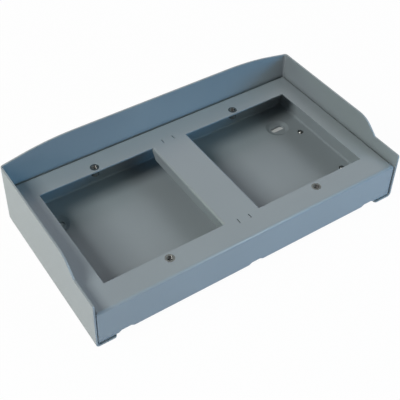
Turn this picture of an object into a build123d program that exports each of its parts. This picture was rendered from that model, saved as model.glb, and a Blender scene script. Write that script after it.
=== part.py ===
from build123d import *
import os

# Intercom back box for two square modules: a folded box that sits in a three-sided rain hood.
# Millimetres. It lies on its back: +X to the right, +Y up the wall, +Z out of the wall,
# with the origin on the wall plane, in the middle of the box and of its wall slots.

# Sheets and inner bend radii
hood_sheet = 1.2
hood_bend = 1.5
cover_sheet = 1.0
cover_bend = 1.0
tray_sheet = 1.5
tray_bend = 1.5

# Cover: its face with two windows, the bar between them, and the skirt in front
window_w = 90.0
window_h = 90.0
bar_w = 30.0
side_rail = 15.25
end_rail = 18.5
box_depth = 28.8
bar_flange = 8.5
bar_flange_taper = 5.0
slit_pitch = 9.1
slit_l = 3.8
slit_w = 0.9
slit_edge = 0.4
skirt_clearance = 0.85
drain_w = 11.4
drain_flat_w = 6.8
drain_h = 1.45
drain_inset = 19.75

# Threaded nuts set in the face, above and below each window
nut_edge = 4.7
nut_l = 6.6
nut_body_r = 2.95
nut_head_r = 3.4
nut_head_h = 0.45
nut_collar_r = 3.8
nut_collar_h = 1.8
nut_thread_r = 1.65
nut_mouth_r = 2.1
nut_mouth_l = 3.0
nut_clearance = 0.05

# Back tray: its wall slots and the dimples round them
slot_l = 11.5
slot_w = 4.5
slot_inset_x = 22.5
slot_inset_y = 25.0
dimple_r = 9.25
dimple_flat_r = 6.5

# Rivets through the tray and the hood's return flanges
rivet_edge = 3.0
rivet_pitch = 49.5
rivet_r = 1.2
rivet_head_r = 2.4
rivet_head_h = 0.6
rivet_clearance = 0.05

# Rain hood: how far it stands off the box and above the face, and its edge lines
hood_gap = 1.05
hood_overhang = 0.9
hood_side_rise = 19.85
hood_front_rise = 9.55
hood_crest_rise = 6.8
crest_shoulder = 33.0
crest_blend_r = 200.0
front_step_inset = 24.5
front_step_run = 11.6
front_step_r = 18.5
front_corner_r = 1.5
return_w = 15.0
return_corner_r = 2.0
return_gap = 1.0
return_relief = 1.0
return_clearance = 0.3

# Sizes that follow from the ones above
box_w = 2 * window_w + bar_w + 2 * side_rail
box_h = window_h + 2 * end_rail
rim_r = cover_bend + cover_sheet
floor_z = hood_sheet + tray_sheet
face_z = hood_sheet + box_depth
face_under_z = face_z - cover_sheet
skirt_z = hood_sheet + skirt_clearance

# The cover meets the tray where its rounded rim ends
seam_z = face_z - rim_r
seam_y = rim_r - box_h / 2

slot_pitch_x = box_w - 2 * slot_inset_x
slot_pitch_y = box_h - 2 * slot_inset_y

hood_r = hood_bend + hood_sheet
hood_w = box_w + 2 * (hood_gap + hood_sheet)
hood_front_y = -box_h / 2 - hood_overhang
hood_rear_y = box_h / 2 + hood_gap + hood_sheet
side_top_z = face_z + hood_side_rise
front_top_z = face_z + hood_front_rise
crest_z = side_top_z + hood_crest_rise
return_inner_x = hood_w / 2 - return_w
return_inner_y = hood_rear_y - return_w

nut_x = bar_w / 2 + window_w / 2
nut_y = window_h / 2 + nut_edge
rivet_x = return_inner_x + rivet_edge

over = 1.0


def block(x_range, y_range, z_range):
    """A plain block between three pairs of limits."""
    size = [high - low for low, high in (x_range, y_range, z_range)]
    corner = [low for low, high in (x_range, y_range, z_range)]
    return Pos(*corner) * Box(*size, align=(Align.MIN, Align.MIN, Align.MIN))


def revolved(outline):
    """A ring turned about the Z axis from a closed outline of radius and height."""
    return revolve(Plane.XZ * make_face(outline), Axis.Z)


def at_nuts(shape):
    return Pos(0, 0, face_z) * GridLocations(2 * nut_x, 2 * nut_y, 2, 2) * shape


def at_slots(shape):
    return GridLocations(slot_pitch_x, slot_pitch_y, 2, 2) * shape


def at_rivets(shape):
    return GridLocations(2 * rivet_x, rivet_pitch, 2, 2) * shape


def lidded_block(width, height, z_low, z_high, radius):
    """A block whose top edges are rounded, as the rim of a folded lid is."""
    solid = block((-width / 2, width / 2), (-height / 2, height / 2), (z_low, z_high))
    return fillet(solid.edges().group_by(Axis.Z)[-1], radius)


def scoop(half_w, y_range, z_range, radius, bent_corners):
    """A block with its lower edges rounded, all but the front one, and its bent rear corners too."""
    solid = block((-half_w, half_w), y_range, z_range)
    rounded = solid.edges().group_by(Axis.Z)[0].sort_by(Axis.Y)[1:]
    if bent_corners:
        rounded += solid.edges().filter_by(Axis.Z).group_by(Axis.Y)[-1]
    return fillet(rounded, radius)


def folded_scoop(half_w, y_range, z_range, sheet, bend, bent_corners):
    """A back, two side walls and a rear wall folded from one sheet, open in front and on top."""
    front_y, rear_y = y_range
    low_z, high_z = z_range
    inner_y_range = (front_y - over, rear_y - sheet)
    inner_z_range = (low_z + sheet, high_z + over)
    outside = scoop(half_w, y_range, z_range, bend + sheet, bent_corners)
    return outside - scoop(half_w - sheet, inner_y_range, inner_z_range, bend, bent_corners)


def make_bar():
    """The bar between the windows, with both long edges folded down and their ends cut back."""
    middle_high = (Align.CENTER, Align.MAX)
    outside = Rectangle(bar_w, bar_flange, align=middle_high)
    inside = Pos(0, -cover_sheet) * Rectangle(bar_w - 2 * cover_sheet, bar_flange, align=middle_high)
    outside = fillet(outside.vertices().group_by(Axis.Y)[-1], rim_r)
    inside = fillet(inside.vertices().group_by(Axis.Y)[-1], cover_bend)
    bar = extrude(Plane.XZ * (outside - inside), window_h / 2, both=True)

    half = window_h / 2
    short_half = half - bar_flange_taper
    side_view = Polyline(
        (-half, 0),
        (half, 0),
        (half, -rim_r),
        (short_half, -bar_flange),
        (-short_half, -bar_flange),
        (-half, -rim_r),
        close=True,
    )
    bar &= extrude(Plane.YZ * make_face(side_view), bar_w, both=True)
    return Pos(0, 0, face_z) * bar


def drain_notch():
    """What is cut out of the skirt's lower edge for one drain, with its middle at the origin."""
    outline = Polyline(
        (-drain_w / 2, -over),
        (drain_w / 2, -over),
        (drain_w / 2, 0),
        (drain_flat_w / 2, drain_h),
        (-drain_flat_w / 2, drain_h),
        (-drain_w / 2, 0),
        close=True,
    )
    return extrude(Plane.XZ * make_face(outline), rim_r, both=True)


def make_cover():
    """Face, rounded rim, front skirt and bar in one sheet, with the nuts' holes, the slits and the drains."""
    cover = lidded_block(box_w, box_h, skirt_z, face_z, rim_r)
    inner_w = box_w - 2 * cover_sheet
    inner_h = box_h - 2 * cover_sheet
    cover -= lidded_block(inner_w, inner_h, skirt_z - over, face_under_z, cover_bend)
    cover -= block((-box_w, box_w), (seam_y, box_h), (skirt_z - over, seam_z))
    opening_x = bar_w / 2 + window_w
    face_range = (face_under_z - over, face_z + over)
    cover -= block((-opening_x, opening_x), (-window_h / 2, window_h / 2), face_range)
    cover += make_bar()

    slit = Box(slit_w, slit_l, 4 * cover_sheet)
    slit_y = window_h / 2 + slit_edge + slit_l / 2
    cover -= Pos(0, 0, face_z) * GridLocations(slit_pitch, 2 * slit_y, 2, 2) * slit
    drain_pitch = box_w / 2 - drain_inset
    cover -= Pos(0, -box_h / 2, skirt_z) * GridLocations(drain_pitch, 1, 3, 1) * drain_notch()

    hole_r = nut_body_r + nut_clearance
    sink_r = nut_head_r + nut_clearance
    sink = Polyline(
        (0, -2 * cover_sheet),
        (hole_r, -2 * cover_sheet),
        (hole_r, -nut_head_h),
        (sink_r, 0),
        (sink_r, over),
        (0, over),
        close=True,
    )
    return cover - at_nuts(revolved(sink))


def make_nuts():
    """Four threaded nuts: a flush head, a collar squeezed up under the sheet, and the threaded barrel."""
    under = -cover_sheet
    outline = Polyline(
        (nut_mouth_r, 0),
        (nut_head_r, 0),
        (nut_body_r, -nut_head_h),
        (nut_body_r, under),
        (nut_collar_r, under),
        (nut_body_r, under - nut_collar_h),
        (nut_body_r, -nut_l),
        (nut_thread_r, -nut_l),
        (nut_thread_r, -nut_mouth_l),
        (nut_mouth_r, -nut_mouth_l),
        close=True,
    )
    return Compound(children=at_nuts(revolved(outline)))


def rivet_hole():
    """What is cut out of the tray and the hood for one rivet."""
    return extrude(Circle(rivet_r + rivet_clearance), floor_z + over, both=True)


def make_rivets():
    """Four rivets that hold the tray to the hood: a low domed head, and a shank flush with the back."""
    top = (0, floor_z + rivet_head_h)
    rim = (rivet_head_r, floor_z)
    dome = TangentArc(top, rim, tangent=(1, 0))
    body = Polyline(
        rim,
        (rivet_r, floor_z),
        (rivet_r, 0),
        (0, 0),
        top,
    )
    return Compound(children=at_rivets(revolved(dome + body)))


def make_tray():
    """Floor, side walls and rear wall folded from one sheet, with dimpled wall slots and rivet holes."""
    tray = folded_scoop(box_w / 2, (seam_y, box_h / 2), (hood_sheet, seam_z), tray_sheet, tray_bend, False)
    dimple = Polyline(
        (0, 0),
        (dimple_flat_r, 0),
        (dimple_r, hood_sheet),
        (dimple_r, floor_z),
        (dimple_flat_r, tray_sheet),
        (0, tray_sheet),
        close=True,
    )
    tray -= at_slots(extrude(Circle(dimple_r), floor_z + over))
    tray += at_slots(revolved(dimple))
    tray -= at_slots(extrude(SlotOverall(slot_l, slot_w), floor_z, both=True))
    return tray - at_rivets(rivet_hole())


def hood_front_view():
    """The hood seen from the front: a level crest that falls along two shoulders to the side walls."""
    half_w = hood_w / 2
    shoulder_x = half_w - hood_r
    crest_x = shoulder_x - crest_shoulder
    outline = Polyline(
        (-half_w, 0),
        (half_w, 0),
        (half_w, side_top_z),
        (shoulder_x, side_top_z),
        (crest_x, crest_z),
        (-crest_x, crest_z),
        (-shoulder_x, side_top_z),
        (-half_w, side_top_z),
        close=True,
    )
    view = make_face(outline)
    return fillet(view.vertices().group_by(Axis.Y)[-1], crest_blend_r)


def hood_side_view():
    """The hood seen from its side: a low front, a rounded step up to the walls, and room for the crest."""
    step_y = hood_front_y + front_step_inset
    brow_y = step_y + front_step_run
    rear_inner_y = hood_rear_y - hood_sheet
    outline = Polyline(
        (hood_front_y, 0),
        (hood_rear_y, 0),
        (hood_rear_y, crest_z + over),
        (rear_inner_y, crest_z + over),
        (rear_inner_y, side_top_z),
        (brow_y, side_top_z),
        (step_y, front_top_z),
        (hood_front_y, front_top_z),
        close=True,
    )
    view = make_face(outline)
    brow = view.vertices().sort_by_distance((brow_y, side_top_z))[0]
    view = fillet(brow, front_step_r)
    front_corner = view.vertices().sort_by_distance((hood_front_y, front_top_z))[0]
    return fillet(front_corner, front_corner_r)


def return_opening():
    """What is cut out of the hood's back, inside its three return flanges, rounded at their free corners."""
    front_y = hood_front_y - over
    through = (-over, 2 * hood_sheet)
    opening = block((-return_inner_x, return_inner_x), (front_y, return_inner_y), through)
    wide_x = return_inner_x + return_corner_r
    corner_y = hood_front_y + return_corner_r
    flare = block((-wide_x, wide_x), (front_y, corner_y), through)
    corner = extrude(Circle(return_corner_r), 4 * hood_sheet, both=True)
    return opening + (flare - [Pos(side * wide_x, corner_y) * corner for side in (-1, 1)])


def make_hood():
    """Side walls, arched top wall and return flanges folded from one strip, with mitred, relieved corners."""
    hood = folded_scoop(hood_w / 2, (hood_front_y, hood_rear_y), (0, crest_z), hood_sheet, hood_bend, True)
    hood &= extrude(Plane.XZ * hood_front_view(), hood_rear_y - hood_front_y, both=True)
    hood &= extrude(Plane.YZ * hood_side_view(), hood_w, both=True)
    hood -= return_opening()

    relief_x = hood_w / 2 - hood_r
    relief_y = hood_rear_y - hood_r
    relief = extrude(Circle(hood_r + return_relief), hood_r, both=True)
    mitre = Box(4 * return_w, return_gap, 2 * hood_r)
    for side in (-1, 1):
        hood -= Pos(side * relief_x, relief_y) * relief
        hood -= Pos(side * relief_x, relief_y) * Rot(0, 0, side * 45) * mitre
    hood -= at_slots(extrude(Circle(dimple_r + return_clearance), hood_sheet))
    return hood - at_rivets(rivet_hole())


os.makedirs("parts", exist_ok=True)
export_step(make_hood(), "parts/rain_hood.step")
export_step(make_cover(), "parts/front_cover.step")
export_step(make_tray(), "parts/back_tray.step")
export_step(make_nuts(), "parts/module_nuts.step")
export_step(make_rivets(), "parts/hood_rivets.step")
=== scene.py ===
import math

import bpy
from mathutils import Euler, Matrix, Vector


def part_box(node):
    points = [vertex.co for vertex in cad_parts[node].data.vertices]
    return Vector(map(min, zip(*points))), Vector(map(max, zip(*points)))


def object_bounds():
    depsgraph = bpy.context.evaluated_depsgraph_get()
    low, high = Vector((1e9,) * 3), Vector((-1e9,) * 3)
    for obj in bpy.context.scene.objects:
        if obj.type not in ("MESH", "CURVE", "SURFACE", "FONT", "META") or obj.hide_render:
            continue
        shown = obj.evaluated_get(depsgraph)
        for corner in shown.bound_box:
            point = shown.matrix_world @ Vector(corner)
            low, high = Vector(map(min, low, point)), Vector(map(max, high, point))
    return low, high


# An intercom back box of folded, powder-coated sheet, lying on its back on a pale floor. Metres.

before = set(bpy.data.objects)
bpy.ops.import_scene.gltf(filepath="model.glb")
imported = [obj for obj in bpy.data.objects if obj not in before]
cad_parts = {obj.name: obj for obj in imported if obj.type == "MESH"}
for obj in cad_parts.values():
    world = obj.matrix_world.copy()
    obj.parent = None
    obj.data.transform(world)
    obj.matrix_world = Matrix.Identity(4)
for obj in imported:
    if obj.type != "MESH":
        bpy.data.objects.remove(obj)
cad_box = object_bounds()

MM = 0.001
WHITE = (1, 1, 1, 1)

# Camera, as the photograph was taken
CAMERA_PLACE = Vector((-242.6, -337.0, 426.8)) * MM
CAMERA_TARGET = Vector((7.16, 39.54, 30.0)) * MM
CAMERA_ROLL = math.radians(0.74)
CAMERA_LENS_MM = 73.81
CAMERA_SHIFT = (0.0451, -0.1460)
CAMERA_NEAREST = 0.01
SENSOR_MM = 36.0

# Floor, and the even light of the surroundings
FLOOR_SIZE = 6.0
FLOOR_DROP = 0.1 * MM
FLOOR_COLOR = (0.80, 0.80, 0.80, 1)
FLOOR_WHITE_SHARE = 0.97
UNDERSIDE_INSET = 8.0 * MM
AMBIENT_STRENGTH = 0.08

# Lamps: azimuth from +X and elevation in degrees, edge length in metres, watts, colour,
# and what they do: light surfaces, show in their gloss, or both
LAMP_REACH = 1.15
LIGHT, GLOSS = "light", "gloss"
LAMPS = {
    "key_left": (180, 45, 0.4, 7.3, (0.99, 1.0, 0.97), (LIGHT, GLOSS)),
    "sky_front_right": (300, 10, 0.3, 5.44, (0.17, 0.56, 1.0), (LIGHT,)),
    "fill_front_right": (315, 45, 0.6, 2.03, (0.74, 0.96, 1.0), (LIGHT, GLOSS)),
    "fill_rear_right": (45, 45, 0.6, 3.5, (1.0, 0.86, 0.89), (LIGHT,)),
    "low_front_left": (240, 4, 0.3, 1.75, (0.98, 0.92, 1.0), (LIGHT,)),
    "low_rear_left": (135, 15, 0.5, 1.91, (0.72, 1.0, 0.67), (LIGHT, GLOSS)),
    "gleam_front_right": (292, 32, 0.25, 4.6, (0.75, 0.92, 1.0), (GLOSS,)),
}

# Where a colour ramp leaves its low colour and reaches its high one
RAMP_LOW, RAMP_HIGH = 0.3, 0.7

# Powder coat
PAINT_LIGHT = (0.280, 0.318, 0.336, 1)
PAINT_DARK = (0.262, 0.298, 0.316, 1)
PAINT_ROUGHNESS = (0.28, 0.36)
PAINT_SPECULAR = 0.5
PAINT_TONE_PER_M, PAINT_TONE_DETAIL = 14.0, 3.0
PAINT_GRAIN_PER_M, PAINT_GRAIN_DETAIL = 1400.0, 2.0
PAINT_PEEL_STRENGTH = 0.18
PAINT_PEEL_DEPTH = 0.05 * MM

# Chalkier coat inside the tray
INSIDE_LIGHT = (0.302, 0.343, 0.363, 1)
INSIDE_DARK = (0.283, 0.322, 0.341, 1)
INSIDE_ROUGHNESS = (0.55, 0.65)
INSIDE_SPECULAR = 0.1

# Plated steel of the threaded nuts, with a darker colour in their bores that is painted shade
NUT_STEEL = (0.155, 0.165, 0.16, 1)
BORE_PAINTED_SHADE_STEEL = (0.095, 0.095, 0.093, 1)
NUT_METAL = 0.9
NUT_ROUGHNESS = 0.12
NUT_WIDEST_R = 3.8 * MM
NUT_BORE_R = 2.1 * MM
NUT_RING_R = 2.25 * MM
THREAD_PITCH = 0.7 * MM
THREAD_SLOPE = 0.9

# Brighter steel of the rivets
RIVET_LIGHT = (0.30, 0.30, 0.29, 1)
RIVET_DARK = (0.20, 0.20, 0.19, 1)
RIVET_METAL = 1.0
RIVET_ROUGHNESS = 0.24
RIVET_TONE_PER_M, RIVET_TONE_DETAIL = 900.0, 3.0
RIVET_HEAD_R = 2.4 * MM
RIVET_EDGE_SLOPE = 0.8

# Soft edges: their width on sheet and on nuts and rivets, and the least bend that is softened
SHEET_EDGE = 0.10 * MM
STEEL_EDGE = 0.08 * MM
EDGE_SEGMENTS = 2
EDGE_LEAST_BEND = math.radians(35)
FLAT_WITHIN = math.radians(0.2)
WELD_WITHIN = 0.001 * MM


def add_node(tree, kind, **values):
    """A shader node of that kind, with its sockets set by name."""
    node = tree.nodes.new(kind)
    for name, value in values.items():
        node.inputs[name.replace("_", " ")].default_value = value
    return node


def add_math(tree, operation, first=None, second=None, kind="ShaderNodeMath"):
    """A number or vector operation, with the inputs that are constants."""
    node = tree.nodes.new(kind)
    node.operation = operation
    for place, value in enumerate((first, second)):
        if value is not None:
            node.inputs[place].default_value = value
    return node


def add_vector_math(tree, operation, second=None):
    """A vector operation, with its second input where that is a constant."""
    return add_math(tree, operation, second=second, kind="ShaderNodeVectorMath")


def new_material(name):
    """A node material with one principled shader."""
    material = bpy.data.materials.new(name)
    material.use_nodes = True
    return material, material.node_tree, material.node_tree.nodes["Principled BSDF"]


def object_place(tree):
    """The place on the object, in its own frame."""
    return tree.nodes.new("ShaderNodeTexCoord").outputs["Object"]


def noise(tree, scale, detail):
    """Noise that stays fixed on the object, at a scale given per metre."""
    texture = add_node(tree, "ShaderNodeTexNoise", Scale=scale, Detail=detail)
    tree.links.new(object_place(tree), texture.inputs["Vector"])
    return texture.outputs["Fac"]


def ramp(tree, factor, low, high):
    """A colour between low and high, by factor."""
    node = tree.nodes.new("ShaderNodeValToRGB")
    stops = ((RAMP_LOW, low), (RAMP_HIGH, high))
    for stop, (position, color) in zip(node.color_ramp.elements, stops):
        stop.position = position
        stop.color = color
    tree.links.new(factor, node.inputs["Fac"])
    return node.outputs["Color"]


def bump(tree, height, strength, distance):
    """A normal that follows a height."""
    node = add_node(tree, "ShaderNodeBump", Strength=strength, Distance=distance)
    tree.links.new(height, node.inputs["Height"])
    return node.outputs["Normal"]


def paint_material(name, dark, light, roughness, specular):
    """Blue-grey powder coat: a faint cloudiness and the fine orange peel of the baked powder."""
    material, tree, shader = new_material(name)
    clouds = noise(tree, PAINT_TONE_PER_M, PAINT_TONE_DETAIL)
    tree.links.new(ramp(tree, clouds, dark, light), shader.inputs["Base Color"])
    grain = noise(tree, PAINT_GRAIN_PER_M, PAINT_GRAIN_DETAIL)
    peel = bump(tree, grain, PAINT_PEEL_STRENGTH, PAINT_PEEL_DEPTH)
    tree.links.new(peel, shader.inputs["Normal"])
    gloss = add_node(tree, "ShaderNodeMapRange", To_Min=roughness[0], To_Max=roughness[1])
    tree.links.new(grain, gloss.inputs["Value"])
    tree.links.new(gloss.outputs["Result"], shader.inputs["Roughness"])
    shader.inputs["Specular IOR Level"].default_value = specular
    return material


def steel_material(name, metal, roughness):
    """Plated steel without its colour."""
    material, tree, shader = new_material(name)
    shader.inputs["Metallic"].default_value = metal
    shader.inputs["Roughness"].default_value = roughness
    return material, tree, shader


def off_axis_squared(tree, node, widest):
    """The square of the distance from the nearest of a node's four axes, which are mirrored."""
    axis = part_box(node)[1] - Vector((widest, widest, 0))
    quarter = add_vector_math(tree, "ABSOLUTE")
    offset = add_vector_math(tree, "SUBTRACT", axis)
    level = add_vector_math(tree, "MULTIPLY", (1, 1, 0))
    square = add_vector_math(tree, "DOT_PRODUCT")
    tree.links.new(object_place(tree), quarter.inputs[0])
    tree.links.new(quarter.outputs["Vector"], offset.inputs[0])
    tree.links.new(offset.outputs["Vector"], level.inputs[0])
    tree.links.new(level.outputs["Vector"], square.inputs[0])
    tree.links.new(level.outputs["Vector"], square.inputs[1])
    return square.outputs["Value"]


def thread_rings(tree):
    """A height that rises as far along Z as it then falls, once in each pitch of a thread."""
    along = tree.nodes.new("ShaderNodeSeparateXYZ")
    flanks = add_math(tree, "PINGPONG", second=THREAD_PITCH / 2)
    tree.links.new(object_place(tree), along.inputs["Vector"])
    tree.links.new(along.outputs["Z"], flanks.inputs[0])
    return flanks.outputs[0]


def nut_material():
    """The nuts' steel, darkened in the bore by painted shade, with the thread's turns in the bore.
    """
    material, tree, shader = steel_material("nut_steel", NUT_METAL, NUT_ROUGHNESS)
    outward = add_node(
        tree, "ShaderNodeMapRange", From_Min=NUT_BORE_R ** 2, From_Max=NUT_RING_R ** 2)
    tree.links.new(off_axis_squared(tree, "module_nuts", NUT_WIDEST_R), outward.inputs["Value"])
    # The bore's darker colour is painted shade, not a different steel
    steel_with_painted_bore_shade = ramp(tree, outward.outputs["Result"], BORE_PAINTED_SHADE_STEEL, NUT_STEEL)
    tree.links.new(steel_with_painted_bore_shade, shader.inputs["Base Color"])
    inward = add_math(tree, "SUBTRACT", first=1.0)
    tree.links.new(outward.outputs["Result"], inward.inputs[1])
    turns = add_node(tree, "ShaderNodeBump", Distance=THREAD_SLOPE)
    tree.links.new(inward.outputs[0], turns.inputs["Strength"])
    tree.links.new(thread_rings(tree), turns.inputs["Height"])
    tree.links.new(turns.outputs["Normal"], shader.inputs["Normal"])
    return material


def rivet_material():
    """The rivets' steel, a little uneven, hammered to a fuller dome at the rim."""
    material, tree, shader = steel_material("rivet_steel", RIVET_METAL, RIVET_ROUGHNESS)
    patches = noise(tree, RIVET_TONE_PER_M, RIVET_TONE_DETAIL)
    tree.links.new(ramp(tree, patches, RIVET_DARK, RIVET_LIGHT), shader.inputs["Base Color"])
    fall = add_math(tree, "MULTIPLY", second=-RIVET_EDGE_SLOPE / (2 * RIVET_HEAD_R))
    tree.links.new(off_axis_squared(tree, "hood_rivets", RIVET_HEAD_R), fall.inputs[0])
    dome = bump(tree, fall.outputs[0], strength=1.0, distance=1.0)
    tree.links.new(dome, shader.inputs["Normal"])
    return material


def soften_edges(piece, width):
    """Rounds the cut edges a little, as a coat of powder does."""
    weld = piece.modifiers.new("weld", "WELD")
    weld.merge_threshold = WELD_WITHIN
    flat = piece.modifiers.new("flat faces", "DECIMATE")
    flat.decimate_type = "DISSOLVE"
    flat.angle_limit = FLAT_WITHIN
    edge = piece.modifiers.new("edge", "BEVEL")
    edge.width = width
    edge.segments = EDGE_SEGMENTS
    edge.limit_method = "ANGLE"
    edge.angle_limit = EDGE_LEAST_BEND
    edge.harden_normals = True


def dress(node, material, edge):
    """Gives a node its material and its soft edges."""
    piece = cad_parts[node]
    piece.data.materials.clear()
    piece.data.materials.append(material)
    soften_edges(piece, edge)


def white_to_camera(tree):
    """1 for what the camera, a mirror or a glass sees, and 0 for light that falls on things."""
    rays = tree.nodes.new("ShaderNodeLightPath")
    seen = rays.outputs["Is Camera Ray"]
    for name in ("Is Glossy Ray", "Is Transmission Ray"):
        either = add_math(tree, "MAXIMUM")
        tree.links.new(seen, either.inputs[0])
        tree.links.new(rays.outputs[name], either.inputs[1])
        seen = either.outputs[0]
    return seen


def mix_to_output(tree, share, first, second, kind):
    """Ends a node tree with a mix of two shaders, by share."""
    mix = tree.nodes.new("ShaderNodeMixShader")
    out = tree.nodes.new(kind)
    tree.links.new(share, mix.inputs["Fac"])
    tree.links.new(first.outputs[0], mix.inputs[1])
    tree.links.new(second.outputs[0], mix.inputs[2])
    tree.links.new(mix.outputs[0], out.inputs["Surface"])


def make_world():
    """White behind everything, and a soft even light on the object."""
    world = bpy.data.worlds.new("studio")
    bpy.context.scene.world = world
    world.use_nodes = True
    tree = world.node_tree
    tree.nodes.clear()
    ambient = add_node(tree, "ShaderNodeBackground", Color=WHITE, Strength=AMBIENT_STRENGTH)
    white = add_node(tree, "ShaderNodeBackground", Color=WHITE, Strength=1.0)
    mix_to_output(tree, white_to_camera(tree), ambient, white, "ShaderNodeOutputWorld")


def white_floor_material():
    """A pale floor that shows as white and keeps a faint shadow of the object."""
    material = bpy.data.materials.new("floor")
    material.use_nodes = True
    tree = material.node_tree
    tree.nodes.clear()
    pale = add_node(tree, "ShaderNodeBsdfDiffuse", Color=FLOOR_COLOR)
    white = add_node(tree, "ShaderNodeEmission", Color=WHITE, Strength=1.0)
    share = add_math(tree, "MULTIPLY", second=FLOOR_WHITE_SHARE)
    tree.links.new(white_to_camera(tree), share.inputs[0])
    mix_to_output(tree, share.outputs[0], pale, white, "ShaderNodeOutputMaterial")
    return material


def plain_floor_material():
    """The floor as it lies in the object's own shade, seen through its holes."""
    material, _, shader = new_material("floor_underside")
    shader.inputs["Base Color"].default_value = FLOOR_COLOR
    shader.inputs["Roughness"].default_value = 1.0
    return material


def floor_sheet(name, low, high, z, material):
    """A level rectangle of floor."""
    mesh = bpy.data.meshes.new(name)
    corners = [
        (low[0], low[1], z), (high[0], low[1], z), (high[0], high[1], z), (low[0], high[1], z)]
    mesh.from_pydata(corners, [], [(0, 1, 2, 3)])
    mesh.materials.append(material)
    sheet = bpy.data.objects.new(name, mesh)
    bpy.context.scene.collection.objects.link(sheet)


def make_floor():
    """The floor, and the part of it that lies under the object."""
    half = FLOOR_SIZE / 2
    low, high = cad_box
    floor_sheet("floor", (-half, -half), (half, half), low.z - FLOOR_DROP, white_floor_material())
    inset = Vector((UNDERSIDE_INSET, UNDERSIDE_INSET, 0))
    under_z = low.z - FLOOR_DROP / 2
    floor_sheet("floor_underside", low + inset, high - inset, under_z, plain_floor_material())


def aim(thing, place, target, roll=0.0):
    """Puts a camera or lamp at place, looking at target."""
    turn = (target - place).to_track_quat("-Z", "Y").to_matrix().to_4x4()
    thing.matrix_world = Matrix.Translation(place) @ turn @ Matrix.Rotation(roll, 4, "Z")


def softbox(name, azimuth, elevation, size, watts, color, uses):
    """A square lamp on a wide dome, which looks at the object."""
    lamp = bpy.data.lights.new(name, "AREA")
    lamp.size = size
    lamp.energy = watts
    lamp.color = color
    box = bpy.data.objects.new(name, lamp)
    box.visible_diffuse = LIGHT in uses
    box.visible_glossy = GLOSS in uses
    bpy.context.scene.collection.objects.link(box)
    turn = Euler((0, -math.radians(elevation), math.radians(azimuth)))
    place = turn.to_matrix() @ Vector((LAMP_REACH, 0, 0))
    aim(box, place, (cad_box[0] + cad_box[1]) / 2)


def make_camera():
    """The photograph's camera: its lens shift stands for the crop, which is off centre."""
    camera = bpy.data.cameras.new("camera")
    camera.sensor_width = SENSOR_MM
    camera.lens = CAMERA_LENS_MM
    camera.shift_x, camera.shift_y = CAMERA_SHIFT
    camera.clip_start = CAMERA_NEAREST
    holder = bpy.data.objects.new("camera", camera)
    bpy.context.scene.collection.objects.link(holder)
    aim(holder, CAMERA_PLACE, CAMERA_TARGET, CAMERA_ROLL)
    bpy.context.scene.camera = holder


bpy.context.scene.view_settings.view_transform = "Standard"
make_camera()
make_floor()
make_world()
for lamp_name, lamp_values in LAMPS.items():
    softbox(lamp_name, *lamp_values)

paint = paint_material("powder_coat", PAINT_DARK, PAINT_LIGHT, PAINT_ROUGHNESS, PAINT_SPECULAR)
dress("rain_hood", paint, SHEET_EDGE)
dress("front_cover", paint, SHEET_EDGE)
chalky = paint_material(
    "powder_coat_inside", INSIDE_DARK, INSIDE_LIGHT, INSIDE_ROUGHNESS, INSIDE_SPECULAR)
dress("back_tray", chalky, SHEET_EDGE)
dress("module_nuts", nut_material(), STEEL_EDGE)
dress("hood_rivets", rivet_material(), STEEL_EDGE)
